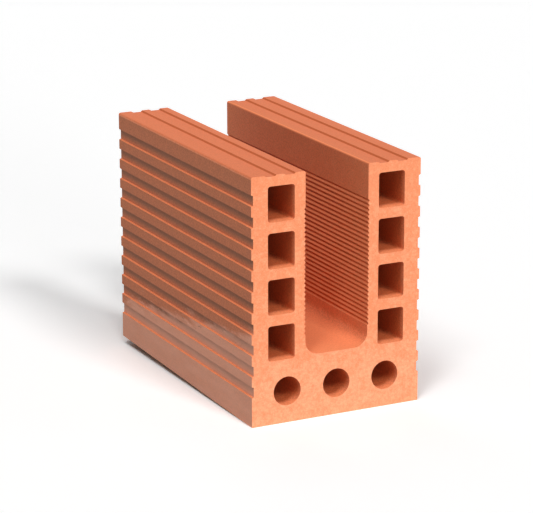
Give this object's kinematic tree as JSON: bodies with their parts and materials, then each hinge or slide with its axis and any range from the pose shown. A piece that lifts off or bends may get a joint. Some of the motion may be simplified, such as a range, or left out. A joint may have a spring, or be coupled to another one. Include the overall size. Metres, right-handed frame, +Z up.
{
  "type": "hollow clay channel brick",
  "caption": "Extruded hollow clay brick with an open U channel between two hollow walls, round holes in its base, and grooves on its sides, top and channel walls.",
  "frame": {"origin": "middle of the bed face, straight below the middle of the channel", "axes": "+Y along the extrusion, from the end face that the picture shows to the far one; +X across the channel; +Z up, out of the channel"},
  "size_m": [0.14, 0.24, 0.19],
  "materials": {
    "fired_clay": "matte, unglazed fired clay"
  },
  "bodies": {
    "root": {"channel_brick": "fired_clay"}
  },
  "joints": []
}
